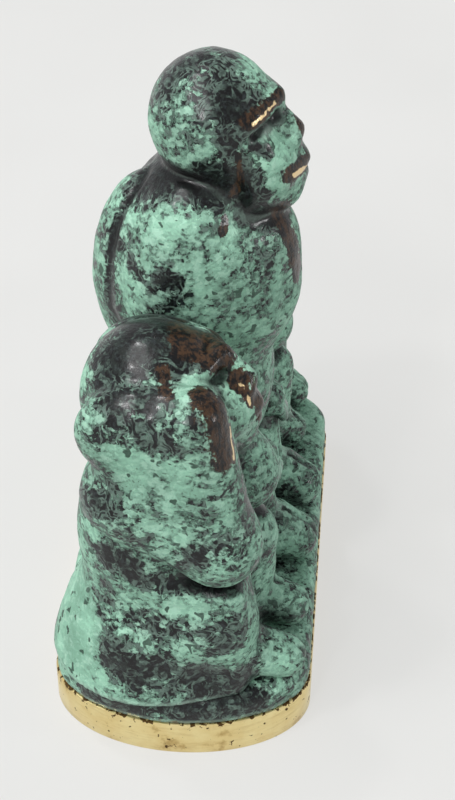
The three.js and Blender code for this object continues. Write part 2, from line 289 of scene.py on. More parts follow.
def hear_figure():
    """Small monkey with its hands over its ears."""
    return small_figure(1, 2.8, 9.2, -5.2, -16.8, [
        add(3.0, limb((7.4, -5.6, 25), (7.4, -1.6, 41), 4.6, 3.8)),
        add(3.0, limb((-7.4, -5.6, 25), (-7.8, -2.6, 43.4), 4.6, 4.2)),
        add(3.0, pair(ball((6.6, 0.4, 33.5), (5.4, 6.6, 6.6)))),
        add(2.5, pair(ball((7.0, 3.6, 40.4), (4.6, 8.0, 6.8)))),
    ])


def speak_figure():
    """Small monkey with its hands over its mouth."""
    return small_figure(-1, 1.8, 8.2, -4.2, -14.4, [
        add(2.0, pair(limb((7.2, -6.2, 24.6), (3.4, -7.4, 33.4), 4.2, 3.0))),
        add(0.9, pair(ball((2.6, -8.0, 35.4), (3.0, 2.4, 3.8)))),
        *fingers(((4.4, -8.8, 36.0), (3.4, -9.4, 33.6)), ((1.0, -9.4, 38.2), (0.9, -9.9, 34.8)), 0.9),
    ])


def see_figure():
    """Tall monkey with its eyes shut and its hands on its knees."""
    arm_line = [(1.6, 6.6, 58.6), (4.6, 9.4, 54.4), (6.6, 11.0, 48), (7.4, 11.2, 42), (8.6, 8.6, 36)]
    chest_line = [(5.0, -12.8, 51), (5.8, -12.4, 43), (6.0, -11.2, 34), (5.4, -10.2, 25)]
    return [
        add(1.0, ball((0, 3, 6.5), (11.6, 11.8, 11.5))),
        add(4.0, ball((0, 0.4, 28), (10, 10.6, 17))),
        add(3.0, ball((0, -1.2, 42.5), (10.4, 12.4, 12.0))),
        add(3.0, ball((0, -4.8, 49), (8.6, 8.2, 7.6))),
        add(2.0, ball((0, 4.4, 43.5), (9.4, 9.5, 15.0))),
        add(3.0, pair(ball((6.2, 0.4, 49.5), (5.9, 7.6, 10.2)))),
        add(4.0, pair(limb((7.4, 2.6, 46), (8.1, 3.4, 31), 4.4, 3.7))),
        add(2.0, ball((0, 0.0, 55.4), (8.7, 6.6, 6.2))),
        add(0.9, ball((0, -2.0, 66), (8.2, 8.0, 8.4))),
        *face((0, -8.8, 60), 1.0, (-9.7, 69.3), 5.8),
        cut(1.2, pair(groove(arm_line, 0.4))),
        cut(0.8, pair(limb((8.6, -5.6, 65), (7.4, -6.0, 58), 0.3, 0.6))),
        cut(1.5, pair(limb((8.0, -6.0, 59.6), (10.4, -5.0, 54.4), 0.4, 0.4))),
        cut(1.6, pair(groove(chest_line, 0.4))),
        add(1.5, pair(limb((8.2, 3.6, 31), (7, -7.2, 18.6), 3.6, 2.9))),
        add(0.9, pair(ball((6.8, -8.2, 17.8), (3.2, 3.4, 2.8)))),
        *fingers(((8.4, -8.8, 19.2), (5.2, -9.0, 19.4)), ((8.2, -11.2, 15.6), (5.4, -11.4, 15.6)), 0.9),
        add(1.6, pair(limb((5.4, 4, 8.5), (6.2, -5.6, 12.6), 5.9, 4.6))),
        add(1.4, pair(limb((6.2, -6.6, 12.0), (5.4, -8.4, 3.2), 4.2, 3.6))),
        *foot(6.0, -11.0, -17.3, 8.4),
    ]


SCULPTS = {"hear": hear_figure, "see": see_figure, "speak": speak_figure}

# Where the patina is dark: round bars by their ends, radius and depth, on both sides of a figure.
# A depth below 0 keeps the green clean.
SMALL_DARK = [
    ((11.1, 8.4, 32.0), (12.0, 3.8, 28.0), 1.9, 0.6),
    ((12.7, -2.5, 25.9), (11.2, -8.2, 28.3), 1.6, 0.35),
    ((8.4, 8.3, 21.7), (7.8, -1.9, 17.2), 1.6, 0.75),
    ((10.9, 6.4, 6.4), (9.1, -8.3, 2.5), 2.4, 0.85),
    ((11.3, 6.5, 39.0), (12.0, -1.5, 36.0), 2.6, -0.3),
    ((10.5, 3.0, 12.2), (11.1, -7.2, 11.1), 1.8, 0.45),
    ((9.1, 1.2, 15.3), (7.6, -8.2, 14.4), 1.2, -0.5),
    ((4.2, 13.8, 9.6), (7.6, 14.2, 3.6), 4.2, -0.8),
]
DARK_ZONES = {
    "hear": SMALL_DARK + [
        ((2.9, 5.8, 49.5), (1.5, -0.7, 49.7), 3.4, 1.15),
        ((8.1, 6.4, 46.6), (8.9, 2.0, 46.6), 1.8, 0.85),
        ((10.2, 5.8, 44.8), (11.4, 0.9, 43.2), 2.2, 0.45),
        ((5.5, -2.0, 47.6), (1.5, -6.3, 45.4), 1.2, -0.5),
    ],
    "see": [
        ((5.4, -2.8, 72.3), (6.4, -6.5, 69.3), 2.8, 0.75),
        ((1.7, 3.6, 71.8), (1.1, -1.2, 74.3), 3.0, 0.6),
        ((7.5, -4.4, 68.1), (7.6, -5.4, 64.5), 1.4, 0.6),
        ((3.0, 5.6, 57.9), (7.4, -5.0, 61.1), 2.6, 0.95),
        ((7.1, -6.9, 58.5), (2.6, -10.7, 53.9), 1.8, 0.85),
        ((12.1, 3.8, 49.4), (12.5, 1.6, 49.6), 0.9, 0.8),
        ((9.3, 7.3, 50.2), (12.1, 4.8, 48.0), 1.0, 0.6),
        ((6.3, -7.6, 65.3), (5.6, -9.0, 64.4), 0.8, 0.8),
        ((4.7, -8.4, 66.9), (1.3, -10.1, 67.1), 0.7, 0.9),
        ((9.0, 6.3, 54.0), (11.5, -1.4, 53.1), 2.7, -0.1),
        ((1.6, 6.6, 58.6), (4.6, 9.4, 54.4), 0.8, 0.8),
        ((4.6, 9.4, 54.4), (7.4, 11.2, 42.0), 0.8, 0.8),
        ((7.4, 11.2, 42.0), (8.6, 8.6, 36.0), 0.8, 0.8),
        ((12.1, -1.5, 49.1), (6.2, -11.1, 43.5), 3.0, -0.15),
        ((3.6, -11.2, 63.0), (5.4, -8.6, 58.6), 2.4, -0.25),
    ],
    "speak": SMALL_DARK + [
        ((2.9, 5.4, 49.5), (1.5, -0.7, 49.7), 3.0, 0.7),
        ((7.6, 2.0, 44.0), (7.9, 0.0, 40.0), 2.0, 0.5),
    ],
}

# Where the patina is rubbed through: ends, radius and depth, from brown bronze to bare metal
RUBBED_ZONES = {
    "hear": [
        ((1.1, -1.1, 49.6), (1.4, -5.3, 48.6), 2.3, 0.6),
        ((1.2, -6.2, 48.4), (1.6, -6.3, 47.4), 0.5, 1.0),
        ((1.5, -7.6, 44.9), (0.4, -10.1, 39.6), 1.4, 0.64),
        ((1.8, -7.8, 44.4), (2.4, -8.8, 42.1), 0.5, 1.0),
        ((8.5, -4.1, 47.3), (10.2, -6.6, 40.5), 2.1, 0.64),
        ((8.3, -6.9, 43.0), (9.1, -7.5, 38.9), 0.45, 1.0),
        ((6.2, 1.0, 48.0), (7.0, 0.7, 47.5), 0.4, 1.0),
        ((5.1, 1.1, 48.5), (8.1, 0.3, 47.2), 0.9, 0.6),
    ],
    "see": [
        ((6.5, -7.5, 68.5), (2.2, -9.9, 69.4), 0.4, 1.0),
        ((6.6, -6.8, 68.9), (1.1, -10.4, 69.7), 0.95, 0.64),
        ((0.4, -12.8, 65.9), (0.4, -13.4, 63.9), 0.9, 0.62),
        ((4.1, -12.4, 60.6), (1.3, -14.0, 60.2), 0.6, 1.05),
        ((4.9, -11.7, 60.9), (1.2, -13.9, 61.0), 1.1, 0.62),
        ((7.3, -5.7, 65.0), (7.2, -6.1, 60.8), 0.4, 0.55),
        ((7.0, -5.6, 60.1), (9.5, -4.1, 55.3), 0.6, 0.64),
        ((3.5, -10.8, 55.6), (2.7, -13.2, 45.6), 1.4, 0.64),
    ],
    "speak": [
        ((1.1, -1.1, 49.6), (1.4, -5.3, 48.6), 2.0, 0.6),
        ((1.2, -5.2, 48.4), (1.6, -5.3, 47.4), 0.5, 1.0),
        ((4.4, -9.6, 36.4), (1.2, -10.2, 37.6), 0.9, 0.64),
    ],
}


# Meshes

def sampled(distance, axes, step, stride=3):
    """Distances on a grid: worked out on a coarse grid, and again at each point near the surface."""
    def grid(lines):
        return np.stack(np.meshgrid(*lines, indexing="ij"), -1)

    coarse = [line[::stride] for line in axes]
    values = distance(grid(coarse).reshape(-1, 3)).reshape([len(line) for line in coarse])
    nearest = [np.rint(np.arange(len(line)) / stride).astype(int) for line in axes]
    nearest = [np.minimum(place, len(line) - 1) for place, line in zip(nearest, coarse)]
    values = values[np.ix_(*nearest)]
    reach = 1.5 * stride * step
    near = np.abs(values) < reach
    values[near] = distance(grid(axes)[near])
    return values


def skin(distance, low, high, step):
    """Points and quads over a form's surface: one point in each grid cell that the surface crosses."""
    axes = [np.arange(a - step, b + 2 * step, step) for a, b in zip(low, high)]
    counts = [len(a) for a in axes]
    values = sampled(distance, axes, step)
    cells = [c - 1 for c in counts]
    total = np.zeros((*cells, 3))
    hits = np.zeros(cells)
    edges = []
    for axis in range(3):
        a, b = np.moveaxis(values, axis, 0)[:-1], np.moveaxis(values, axis, 0)[1:]
        crossed = (a < 0) != (b < 0)
        part = np.where(crossed, a / np.where(crossed, a - b, 1), 0)
        crossed, part = np.moveaxis(crossed, 0, axis), np.moveaxis(part, 0, axis)
        edges.append((crossed, np.moveaxis(a < 0, 0, axis)))
        side, down = [k for k in range(3) if k != axis]
        for i in (0, 1):
            for j in (0, 1):
                window = [slice(None)] * 3
                window[side] = slice(i, i + cells[side])
                window[down] = slice(j, j + cells[down])
                hit, along = crossed[tuple(window)], part[tuple(window)]
                hits += hit
                total[..., axis] += along
                total[..., side] += hit * i
                total[..., down] += hit * j
    used = hits > 0
    number = np.full(cells, -1)
    number[used] = np.arange(used.sum())
    corner = np.stack(np.nonzero(used), -1)
    points = np.array([a[0] for a in axes]) + step * (corner + total[used] / hits[used][:, None])
    quads = []
    for axis, (crossed, starts_inside) in enumerate(edges):
        place = np.stack(np.nonzero(crossed), -1)
        inside = starts_inside[crossed]
        side, down = np.eye(3, dtype=int)[(axis + 1) % 3], np.eye(3, dtype=int)[(axis + 2) % 3]
        ring = [number[tuple((place - shift).T)] for shift in (0 * side, side, side + down, down)]
        quad = np.stack(ring, -1)
        quad[~inside] = quad[~inside][:, ::-1]
        quads.append(quad)
    return points, np.concatenate(quads)


def slopes(distance, points, reach=0.05):
    """Outward directions of a form at points."""
    across = [distance(points + reach * e) - distance(points - reach * e) for e in np.eye(3)]
    slope = np.stack(across, -1)
    return slope / np.maximum(np.linalg.norm(slope, axis=1, keepdims=True), 1e-9)


def closeness(distance, points, direction, reaches):
    """How much of the form comes close again within some reaches of points, from 0 in the open to 1."""
    near = [np.clip(1 - distance(points + reach * direction) / reach, 0, 1) for reach in reaches]
    return np.mean(near, axis=0)


def cast_relief(points, height):
    """Soft lumps and grain of a casting, in millimetres."""
    coarse, fine, fine_share = 3.2, 0.9, 0.35
    lumps = [noise.noise(Vector(p / coarse)) + fine_share * noise.noise(Vector(p / fine)) for p in points]
    return height * np.array(lumps)


def zone_weight(points, zones, soft):
    """How strongly points lie in any of the zones, on both sides of the figure."""
    weight = np.zeros(len(points))
    for start, end, radius, depth in zones:
        near = pair(limb(start, end, radius, radius))(points)
        here = depth * np.clip(0.5 - near / (soft * radius), 0, 1)
        weight = np.where(np.abs(here) > np.abs(weight), here, weight)
    return weight


def new_piece(name, points, faces, material, slot, *nodes):
    """Object at the origin, in metres, that stands for CAD nodes."""
    mesh = bpy.data.meshes.new(name)
    mesh.from_pydata((np.asarray(points) * MM).tolist(), [], [list(f) for f in faces])
    mesh.validate()
    mesh.materials.append(material)
    for polygon in mesh.polygons:
        polygon.use_smooth = True
    piece = bpy.data.objects.new(name, mesh)
    bpy.context.scene.collection.objects.link(piece)
    claim(piece, slot, *nodes)
    return piece


def claim(piece, slot, *nodes):
    """Rides on the frame in place of CAD nodes."""
    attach(piece, "root")
    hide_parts(*nodes)


def store(piece, name, values):
    """Keeps one number for each point of a piece."""
    attribute = piece.data.attributes.new(name, "FLOAT", "POINT")
    attribute.data.foreach_set("value", np.asarray(values, np.float32))


def sculpted_piece(name, distance, low, high, zones, material, sizes, *nodes):
    """Skin over a form, with cast relief, the patina's dark and rubbed places, and its hollows and ridges:
    hollows darker with patina and painted shade, ridges paler with wear and a painted light rim.
    """
    points, quads = skin(distance, low, high, sizes.skin_step / MM)
    furthest = 0.2
    away = np.clip(distance(points), -furthest, furthest)
    points = points - away[:, None] * slopes(distance, points)
    normal = slopes(distance, points)
    # Hollows: darker patina there, and painted shade in creases and under overhangs
    hollow_patina_and_shade = closeness(distance, points, normal, HOLLOW_REACHES)
    # Ridges: paler with wear, and a painted light rim along the edges of forms
    raised = closeness(lambda places: -distance(places), points, -normal, RIDGE_REACHES)
    offset, dark, rubbed = zones
    local = points - offset
    cast = points + cast_relief(points, sizes.relief / MM)[:, None] * normal
    piece = new_piece(name, cast, quads, material, "patinated_bronze", *nodes)
    store(piece, "dark", zone_weight(local, dark, soft=1.6))
    store(piece, "rubbed", zone_weight(local, rubbed, soft=1.3))
    store(piece, "hollow_patina_and_shade", hollow_patina_and_shade)
    store(piece, "raised", raised)
    return piece


def outline_distance(points, half_length, half_depth, bow):
    """Distance from the outline of a slab with straight sides and bowed ends, in plan."""
    past = np.maximum(np.abs(points[:, 0]) - (half_length - bow), 0)
    y = points[:, 1]
    near = np.hypot(past / bow, y / half_depth)
    slope = np.hypot(past / bow ** 2, y / half_depth ** 2)
    return near * (near - 1) / np.maximum(slope, 1e-6)


def bowed_slab(levels, half_length, half_depth, bow, around=320):
    """Points and faces of a slab built up from outlines at (inset, height)."""
    turn = (np.arange(around) + 0.5) / around * 2 * np.pi
    points, faces = [], []
    for inset, z in levels:
        x = np.sign(np.cos(turn)) * (half_length - bow) + (bow - inset) * np.cos(turn)
        y = (half_depth - inset) * np.sin(turn)
        points.append(np.stack([x, y, np.full(around, z)], -1))
    for level in range(len(levels) - 1):
        for i in range(around):
            a, b = level * around + i, level * around + (i + 1) % around
            faces.append((a, b, b + around, a + around))
    last = (len(levels) - 1) * around
    faces.append(tuple(range(around - 1, -1, -1)))
    faces.append(tuple(range(last, last + around)))
    return np.concatenate(points), faces


# Materials

EASED = {"interpolation_type": "SMOOTHSTEP"}


def node(tree, kind, inputs=None, **settings):
    """Adds a node with its settings. Each input is a value, or a node or socket that is linked to it."""
    made = tree.nodes.new(kind)
    for name, value in settings.items():
        setattr(made, name, value)
    for name, value in (inputs or {}).items():
        sockets = [socket for socket in made.inputs if socket.enabled]
        target = sockets[name] if isinstance(name, int) else next(s for s in sockets if s.name == name)
        if isinstance(value, bpy.types.Node):
            value = next(socket for socket in value.outputs if socket.enabled)
        if isinstance(value, bpy.types.NodeSocket):
            tree.links.new(value, target)
        else:
            target.default_value = value
    return made


def new_material(name):
    """Empty material, what puts nodes in its tree, and the object's own coordinates."""
    material = bpy.data.materials.new(name)
    material.use_nodes = True
    material.node_tree.nodes.clear()
    put = functools.partial(node, material.node_tree)
    return material, put, put("ShaderNodeTexCoord").outputs["Object"]


def per_metre(size_mm):
    """Texture scale for features of a real size."""
    return 1 / (size_mm * MM)


def layered(put, colour, layers):
    """Lays colours over a first one: each with what drives it, its range and how far it covers."""
    for driver, start, end, cover, layer in layers:
        amount = put("ShaderNodeMapRange", {
            "Value": driver, "From Min": start, "From Max": end, "To Max": cover})
        colour = put("ShaderNodeMix", {"Factor": amount, "A": colour, "B": layer}, data_type="RGBA")
    return colour


def patinated_bronze(colours):
    """Cast bronze with a green and black patina, waxed: matt green crust in torn chips over black oxide,
    brown where it is handled and bright metal along the rubbed edges."""
    material, put, place = new_material("waxed verdigris bronze")
    dark, rubbed, hollow_patina_and_shade, raised = [
        put("ShaderNodeAttribute", attribute_name=name).outputs["Fac"]
        for name in ("dark", "rubbed", "hollow_patina_and_shade", "raised")]
    flake = put("ShaderNodeTexNoise", {
        "Vector": place, "Scale": per_metre(2.2), "Detail": 3.0, "Roughness": 0.6, "Distortion": 0.5})
    speck = put("ShaderNodeTexNoise", {
        "Vector": place, "Scale": per_metre(0.5), "Detail": 2.0, "Roughness": 0.6})
    cloud = put("ShaderNodeTexNoise", {"Vector": place, "Scale": per_metre(6.0), "Detail": 2.0})

    # The crust comes away in torn chips of two sizes, a little wider than they are high
    tear = 0.6 * MM
    torn = put("ShaderNodeVectorMath", {0: speck.outputs["Color"], 1: (tear, tear, tear), 2: place},
               operation="MULTIPLY_ADD")
    flat = put("ShaderNodeMapping", {"Vector": torn, "Scale": (1.0, 1.0, 1.3)})
    small_chip = put("ShaderNodeTexVoronoi", {"Vector": flat, "Scale": per_metre(0.55)}).outputs["Color"]
    large_chip = put("ShaderNodeTexVoronoi", {"Vector": flat, "Scale": per_metre(1.2)}).outputs["Color"]
    chip = put("ShaderNodeMix", {"Factor": 0.5, "A": small_chip, "B": large_chip})

    # Black shows where the crust is thin: more in dark zones, and more along hollows, partly as patina and
    # partly as painted shade
    texture = put("ShaderNodeCombineXYZ", {"X": flake, "Y": speck, "Z": chip})
    field = put("ShaderNodeVectorMath", {0: texture, 1: (0.4, 0.2, 0.33)}, operation="DOT_PRODUCT")
    thinning_and_shade = put("ShaderNodeCombineXYZ", {"X": dark, "Y": hollow_patina_and_shade, "Z": cloud})
    bias = put("ShaderNodeVectorMath", {0: thinning_and_shade, 1: (0.36, 0.14, 0.5)}, operation="DOT_PRODUCT")
    patch = put("ShaderNodeMath", {0: field, 1: bias}, operation="ADD")
    black = put("ShaderNodeMapRange", {"Value": patch, "From Min": 0.775, "From Max": 0.8}, **EASED)
    oxide_grain = put("ShaderNodeMapRange", {"Value": speck, "From Min": 0.48, "From Max": 0.7}, **EASED)
    oxide = put("ShaderNodeMix", {"Factor": oxide_grain, "A": colours.bronze_black, "B": colours.slate},
                data_type="RGBA")

    # Rubbing goes with the modelled places, broken up by flakes and by strokes of the hand
    drawn = put("ShaderNodeMapping", {"Vector": place, "Scale": (1.0, 1.0, 0.35)})
    stroke = put("ShaderNodeTexNoise", {
        "Vector": drawn, "Scale": per_metre(0.6), "Detail": 3.0, "Roughness": 0.6})
    broken = put("ShaderNodeMath", {0: stroke, 1: 0.6, 2: field}, operation="MULTIPLY_ADD")
    worn = put("ShaderNodeMath", {0: rubbed, 1: broken}, operation="ADD")
    bare = put("ShaderNodeMath", {0: broken, 1: 0.4, 2: rubbed}, operation="MULTIPLY_ADD")
    brown = put("ShaderNodeMapRange", {"Value": worn, "From Min": 0.97, "From Max": 1.1}, **EASED)
    gold = put("ShaderNodeMapRange", {"Value": bare, "From Min": 1.06, "From Max": 1.2}, **EASED)
    streak = put("ShaderNodeMapRange", {"Value": stroke, "From Min": 0.38, "From Max": 0.6}, **EASED)
    handled = put("ShaderNodeMix", {"Factor": streak, "A": colours.bronze_brown, "B": colours.bronze_black},
                  data_type="RGBA")
    metal = put("ShaderNodeMix", {"Factor": gold, "A": handled, "B": colours.bare_gold}, data_type="RGBA")

    # Dark flecks lie in the green, and thin curls of crust stay on the black
    fleck = put("ShaderNodeTexNoise", {
        "Vector": place, "Scale": per_metre(1.4), "Detail": 1.5, "Distortion": 0.5})
    swirl = put("ShaderNodeTexNoise", {
        "Vector": place, "Scale": per_metre(1.9), "Detail": 2.0, "Roughness": 0.6, "Distortion": 1.0})
    ridge = put("ShaderNodeMath", {0: swirl, 1: 0.5}, operation="PINGPONG")
    curl = put("ShaderNodeMapRange", {"Value": ridge, "From Min": 0.42, "From Max": 0.475}, **EASED)
    thin = put("ShaderNodeMapRange", {
        "Value": patch, "From Min": 0.8, "From Max": 1.0, "To Min": 0.8, "To Max": 0.05})
    curled = put("ShaderNodeMath", {0: curl, 1: thin}, operation="MULTIPLY")
    crusted = put("ShaderNodeMix", {"Factor": curled, "A": oxide, "B": colours.lichen}, data_type="RGBA")

    colour = layered(put, colours.verdigris, (
        (cloud, 0.4, 0.62, 0.6, colours.moss),
        (chip, 0.0, 1.0, 0.58, colours.moss),
        (field, 0.45, 0.35, 0.35, colours.bloom),
        (fleck, 0.64, 0.67, 0.9, colours.deep_green),
        (patch, 0.62, 0.76, 0.5, colours.lichen),
        (patch, 0.72, 0.785, 0.8, colours.deep_green),
        (black, 0.0, 1.0, 1.0, crusted),
        # Ridges paler: partly wear, partly a painted light rim along the edges of forms
        (raised, 0.25, 0.6, 0.35, colours.bloom),
        # Hollows go towards black: partly patina in recesses, partly painted shade in creases and under
        # overhangs
        (hollow_patina_and_shade, 0.12, 0.6, 0.85, colours.bronze_black),
        (brown, 0.0, 1.0, 1.0, metal)))

    # Crust is a powdery oxide, the black and brown are waxed, the bright lines are metal
    waxed = put("ShaderNodeMath", {0: black, 1: brown}, operation="MAXIMUM")
    rough = put("ShaderNodeMapRange", {"Value": waxed, "To Min": 0.6, "To Max": 0.36})
    wax = put("ShaderNodeMapRange", {"Value": waxed, "To Min": 0.06, "To Max": 0.5})

    # Chips stand proud of the black by about a tenth of a millimetre, the mould's grain lies over both,
    # and the wax half fills the chipped edges
    proud = 0.14 * MM
    worn_down = put("ShaderNodeMath", {0: black, 1: -0.5, 2: field}, operation="MULTIPLY_ADD")
    height = put("ShaderNodeMath", {0: curled, 1: 0.4, 2: worn_down}, operation="MULTIPLY_ADD")
    chipped = put("ShaderNodeBump", {"Strength": 0.8, "Distance": proud, "Height": height})
    grain = put("ShaderNodeTexNoise", {"Vector": place, "Scale": per_metre(0.35), "Detail": 2.0})
    bump = put("ShaderNodeBump", {
        "Strength": 0.5, "Distance": 0.1 * MM, "Height": grain, "Normal": chipped})
    filled = put("ShaderNodeBump", {"Strength": 0.4, "Distance": proud, "Height": height})
    shader = put("ShaderNodeBsdfPrincipled", {
        "Base Color": colour, "Metallic": gold, "Roughness": rough, "Normal": bump,
        "Specular IOR Level": 0.12, "Coat Weight": wax, "Coat Roughness": 0.2, "Coat Normal": filled,
        "Sheen Weight": 0.04, "Sheen Roughness": 0.35})
    put("ShaderNodeOutputMaterial", {"Surface": shader})
    return material


def polished_brass(colours):
    """Machined brass, polished by hand: bright, scratched along the band, with dark pits near its top."""
    material, put, place = new_material("hand-polished brass")
    # Real scratches are hairlines: they are drawn about ten times as coarse, so that they show
    along = put("ShaderNodeMapping", {"Vector": place, "Scale": (0.12, 0.12, 1.0)})
    scratch = put("ShaderNodeTexNoise", {
        "Vector": along, "Scale": per_metre(0.5), "Detail": 4.0, "Roughness": 0.7})
    stain = put("ShaderNodeTexNoise", {
        "Vector": place, "Scale": per_metre(4.0), "Detail": 4.0, "Roughness": 0.6})
    pit = put("ShaderNodeTexNoise", {"Vector": place, "Scale": per_metre(0.8), "Detail": 2.0})

    # Pits crowd along the top edge, within a couple of millimetres of it
    height = put("ShaderNodeSeparateXYZ", {"Vector": place}).outputs["Z"]
    top, pitted_depth = PLATE_HIGH[2], 2.2
    near_top = put("ShaderNodeMapRange", {
        "Value": height, "From Min": (top - pitted_depth) * MM, "From Max": top * MM})
    at_edge = put("ShaderNodeMath", {0: near_top, 1: 4.0}, operation="POWER")
    deep = put("ShaderNodeMath", {0: at_edge, 1: 0.2, 2: pit}, operation="MULTIPLY_ADD")
    pitted = put("ShaderNodeMapRange", {"Value": deep, "From Min": 0.66, "From Max": 0.71}, **EASED)
    colour = layered(put, colours.brass, (
        (stain, 0.35, 0.7, 1.0, colours.brass_stain),
        (scratch, 0.5, 0.75, 0.3, colours.brass_scratch),
        (stain, 0.6, 0.68, 0.6, colours.brass_scratch),
        (pitted, 0.0, 1.0, 1.0, colours.brass_pit)))
    dull = put("ShaderNodeMath", {0: scratch, 1: 0.2, 2: 0.22}, operation="MULTIPLY_ADD")
    rough = put("ShaderNodeMath", {0: pitted, 1: 0.3, 2: dull}, operation="MULTIPLY_ADD")
    relief = put("ShaderNodeMath", {0: scratch, 1: pitted}, operation="SUBTRACT")
    bump = put("ShaderNodeBump", {"Strength": 0.25, "Distance": 0.05 * MM, "Height": relief})
    shader = put("ShaderNodeBsdfPrincipled", {
        "Base Color": colour, "Metallic": 1.0, "Roughness": rough, "Normal": bump})
    put("ShaderNodeOutputMaterial", {"Surface": shader})
    return material


def wool_felt(colours):
    """Pressed wool felt: matt, with short fibres lying every way."""
    material, put, place = new_material("pressed wool felt")
    # Real fibres are far finer: they are drawn about ten times as coarse, so that they show
    fibre = put("ShaderNodeTexNoise", {
        "Vector": place, "Scale": per_metre(0.35), "Detail": 4.0, "Roughness": 0.7, "Distortion": 2.0})
    loose = put("ShaderNodeMapRange", {"Value": fibre, "From Min": 0.35, "From Max": 0.7}, **EASED)
    colour = put("ShaderNodeMix", {"Factor": loose, "A": colours.felt, "B": colours.felt_fibre},
                 data_type="RGBA")
    bump = put("ShaderNodeBump", {"Strength": 0.6, "Distance": 0.15 * MM, "Height": fibre})
    shader = put("ShaderNodeBsdfPrincipled", {
        "Base Color": colour, "Roughness": 1.0, "Normal": bump, "Sheen Weight": 0.3})
    put("ShaderNodeOutputMaterial", {"Surface": shader})
    return material


def zinc_plate(colours):
    """Zinc-plated steel: grey metal with a faint cloudy bloom."""
    material, put, place = new_material("zinc-plated steel")
    bloom = put("ShaderNodeTexNoise", {"Vector": place, "Scale": per_metre(1.2), "Detail": 3.0})
    colour = put("ShaderNodeMix", {"Factor": bloom, "A": colours.zinc, "B": colours.zinc_bloom},
                 data_type="RGBA")
    rough = put("ShaderNodeMapRange", {"Value": bloom, "To Min": 0.25, "To Max": 0.5})
    shader = put("ShaderNodeBsdfPrincipled", {"Base Color": colour, "Metallic": 1.0, "Roughness": rough})
    put("ShaderNodeOutputMaterial", {"Surface": shader})
    return material


MATERIALS = {}


def material_of(make):
    """The finish that a function makes, made once."""
    if make not in MATERIALS:
        MATERIALS[make] = make(bpy.context.scene.figurine_colours)
    return MATERIALS[make]


# Fixings: one of a kind, repeated under each figure

def merged_copy(mesh, name):
    """Copy of a CAD mesh with its loose triangles joined, smooth across all but its sharp edges."""
    joined = bmesh.new()
    joined.from_mesh(mesh)
    bmesh.ops.remove_doubles(joined, verts=joined.verts, dist=0.001 * MM)
    copy = bpy.data.meshes.new(name)
    joined.to_mesh(copy)
    joined.free()
    copy.shade_smooth()
    copy.set_sharp_from_angle(angle=SHARP_EDGE)
    return copy


def row_tree():
    """Geometry nodes that set copies of one fixing in a row."""
    tree = bpy.data.node_groups.new("fixings in a row", "GeometryNodeTree")
    for name, kind in (("Fixing", "Geometry"), ("Count", "Int"), ("First", "Vector"), ("Spacing", "Vector"),
                       ("Finish", "Material")):
        tree.interface.new_socket(name, in_out="INPUT", socket_type="NodeSocket" + kind)
    tree.interface.new_socket("Row", in_out="OUTPUT", socket_type="NodeSocketGeometry")
    given = node(tree, "NodeGroupInput").outputs
    places = node(tree, "GeometryNodeMeshLine", {
        "Count": given["Count"], "Start Location": given["First"], "Offset": given["Spacing"]},
        mode="OFFSET")
    row = node(tree, "GeometryNodeInstanceOnPoints", {"Points": places, "Instance": given["Fixing"]})
    row = node(tree, "GeometryNodeRealizeInstances", {"Geometry": row})
    row = node(tree, "GeometryNodeSetMaterial", {"Geometry": row, "Material": given["Finish"]})
    node(tree, "NodeGroupOutput", {"Row": row})
    return tree


# Operators: one for each piece or group of like pieces

class FIGURINE_OT_figures(bpy.types.Operator):
    """Sculpt the three seated monkeys"""
    bl_idname = "figurine.figures"
    bl_label = "Figures"

    def execute(self, context):
        sizes = context.scene.figurine_sizes
        margin = 3
        for name in FIGURES:
            low, high = cad_box("figure_" + name)
            offset = np.array([(low[0] + high[0]) / 2, 0, PLINTH_TOP])
            form = sculpt(SCULPTS[name]())

            def distance(points, form=form, offset=offset):
                local = points - offset
                return np.maximum(form(local), -SUNK - local[:, 2])
            zones = offset, DARK_ZONES[name], RUBBED_ZONES[name]
            sculpted_piece(name + "_monkey", distance, low - margin, high + margin, zones,
                           material_of(patinated_bronze), sizes, "figure_" + name)
        return {"FINISHED"}


class FIGURINE_OT_plinth(bpy.types.Operator):
    """Cast the plinth that the figures sit on"""
    bl_idname = "figurine.plinth"
    bl_label = "Plinth"

    def execute(self, context):
        sizes = context.scene.figurine_sizes
        low, high = PLINTH_LOW, PLINTH_HIGH
        radius = sizes.edge_round / MM
        bow = sizes.end_bow / MM

        def distance(points):
            plan = outline_distance(points, high[0], high[1], bow) + radius
            rise = points[:, 2] - (high[2] - radius)
            outside = np.hypot(np.maximum(plan, 0), np.maximum(rise, 0))
            inside = np.minimum(np.maximum(plan, rise), 0)
            return np.maximum(outside + inside - radius, low[2] - points[:, 2])
        dark_ends = [((34, 9, 1), (34.5, -9, 0.5), 4.0, 0.8)]
        zones = np.array([0, 0, PLINTH_TOP - 1]), dark_ends, []
        sculpted_piece("cast_plinth", distance, low, high, zones,
                       material_of(patinated_bronze), sizes, "plinth")
        return {"FINISHED"}


class FIGURINE_OT_foot(bpy.types.Operator):
    """Turn out the brass foot with its felt pocket"""
    bl_idname = "figurine.foot"
    bl_label = "Brass foot"

    def execute(self, context):
        sizes = context.scene.figurine_sizes
        chamfer = sizes.foot_chamfer / MM
        eased = 0.3 * chamfer
        top = PLATE_HIGH[2]
        pocket, clearance = PAD_HIGH[2], 0.3
        inset = PLATE_HIGH[0] - PAD_HIGH[0] - clearance
        levels = [(inset, pocket), (inset, chamfer), (inset - chamfer, 0), (chamfer, 0), (eased, eased),
                  (0, chamfer), (0, top - chamfer), (eased, top - eased), (chamfer, top)]
        points, faces = bowed_slab(levels, PLATE_HIGH[0], PLATE_HIGH[1], sizes.end_bow / MM)
        piece = new_piece("brass_foot", points, faces, material_of(polished_brass),
                          "polished_brass", "base_plate")
        piece.data.set_sharp_from_angle(angle=SHARP_EDGE)
        return {"FINISHED"}


